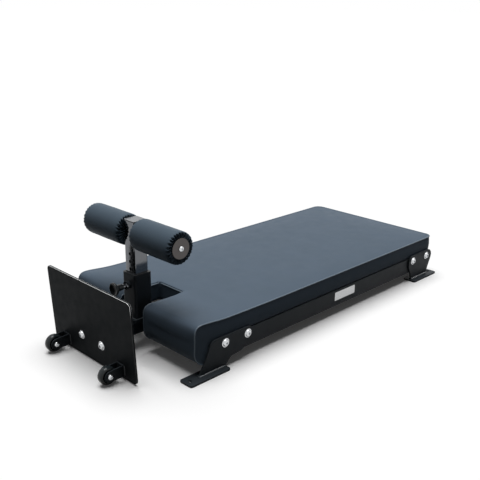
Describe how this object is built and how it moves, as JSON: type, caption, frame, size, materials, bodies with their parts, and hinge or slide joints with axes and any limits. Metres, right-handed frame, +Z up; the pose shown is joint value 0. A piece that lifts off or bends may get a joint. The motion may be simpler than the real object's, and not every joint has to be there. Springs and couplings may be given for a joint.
{
  "type": "hip thrust bench",
  "caption": "Low padded bench with a leaning foot plate, transport wheels, floor brackets and a height-adjustable chrome post that carries foam ankle rollers.",
  "frame": {"origin": "on the floor, under the middle of the bench's bounding box", "axes": "+X from the foot plate to the rear of the pad, +Y to the left side, +Z up"},
  "size_m": [1.5216, 0.6606, 0.43],
  "materials": {
    "frame_paint": "satin",
    "plate_paint": "matte",
    "chrome_plate": "polished",
    "zinc_plate": "satin",
    "disc_metal": "satin",
    "bare_plate": "satin",
    "black_plastic": "satin",
    "wheel_plastic": "gloss",
    "pad_vinyl": "satin",
    "roller_vinyl": "satin",
    "plywood": "matte",
    "spring_steel": "satin"
  },
  "bodies": {
    "frame": {"side_rail_left": "frame_paint", "side_rail_right": "frame_paint", "front_cross_left": "frame_paint", "front_cross_right": "frame_paint", "middle_cross_member": "frame_paint", "rear_cross_member": "frame_paint", "centre_beam": "frame_paint", "beam_flange": "frame_paint", "wheel_fork_left": "frame_paint", "wheel_fork_right": "frame_paint", "post_sleeve": "frame_paint", "foot_bracket_front_left": "frame_paint", "foot_bracket_front_right": "frame_paint", "foot_bracket_rear_left": "frame_paint", "foot_bracket_rear_right": "frame_paint", "foot_plate": "plate_paint", "pin_housing": "chrome_plate", "foot_plate_bolt_left": "zinc_plate", "foot_plate_bolt_right": "zinc_plate", "foot_plate_nut_left": "zinc_plate", "foot_plate_nut_right": "zinc_plate", "wheel_axle_left": "zinc_plate", "wheel_axle_right": "zinc_plate", "wheel_nut_left": "zinc_plate", "wheel_nut_right": "zinc_plate", "bracket_bolt_front_left_fore": "zinc_plate", "bracket_bolt_front_left_aft": "zinc_plate", "bracket_bolt_front_right_fore": "zinc_plate", "bracket_bolt_front_right_aft": "zinc_plate", "bracket_bolt_rear_left_fore": "zinc_plate", "bracket_bolt_rear_left_aft": "zinc_plate", "bracket_bolt_rear_right_fore": "zinc_plate", "bracket_bolt_rear_right_aft": "zinc_plate", "pad_screw_middle_left": "zinc_plate", "pad_screw_middle_right": "zinc_plate", "pad_screw_rear_left": "zinc_plate", "pad_screw_rear_right": "zinc_plate", "nameplate": "bare_plate", "rail_cap_left": "black_plastic", "rail_cap_right": "black_plastic", "sleeve_liner": "black_plastic", "pad": "pad_vinyl", "pad_board": "plywood", "pin_spring": "spring_steel"},
    "post": {"roller_post": "chrome_plate", "post_cap": "black_plastic", "roller_axle": "chrome_plate", "end_disc_left": "disc_metal", "end_disc_right": "disc_metal", "end_bolt_left": "zinc_plate", "end_bolt_right": "zinc_plate"},
    "roller_left": {"foam_roller_left": "roller_vinyl", "roller_core_left": "black_plastic"},
    "roller_right": {"foam_roller_right": "roller_vinyl", "roller_core_right": "black_plastic"},
    "pin": {"pull_pin": "chrome_plate", "pull_knob": "black_plastic"},
    "wheel_left": {"wheel_left": "wheel_plastic"},
    "wheel_right": {"wheel_right": "wheel_plastic"}
  },
  "joints": [
    {"name": "post_height", "type": "slide", "parent": "frame", "child": "post", "axis": [0, 0, 1], "range_m": [-0.075, 0]},
    {"name": "pin_pull", "type": "slide", "parent": "frame", "child": "pin", "axis": [1, 0, 0], "range_m": [0, 0.01]},
    {"name": "roller_left_turn", "type": "hinge", "parent": "post", "child": "roller_left", "pos_m": [-0.50719, 0.121, 0.379], "axis": [0, 1, 0], "continuous": true},
    {"name": "roller_right_turn", "type": "hinge", "parent": "post", "child": "roller_right", "pos_m": [-0.50719, -0.121, 0.379], "axis": [0, 1, 0], "continuous": true},
    {"name": "wheel_left_turn", "type": "hinge", "parent": "frame", "child": "wheel_left", "pos_m": [-0.73281, 0.143, 0.0295], "axis": [0, 1, 0], "continuous": true},
    {"name": "wheel_right_turn", "type": "hinge", "parent": "frame", "child": "wheel_right", "pos_m": [-0.73281, -0.143, 0.0295], "axis": [0, 1, 0], "continuous": true}
  ]
}
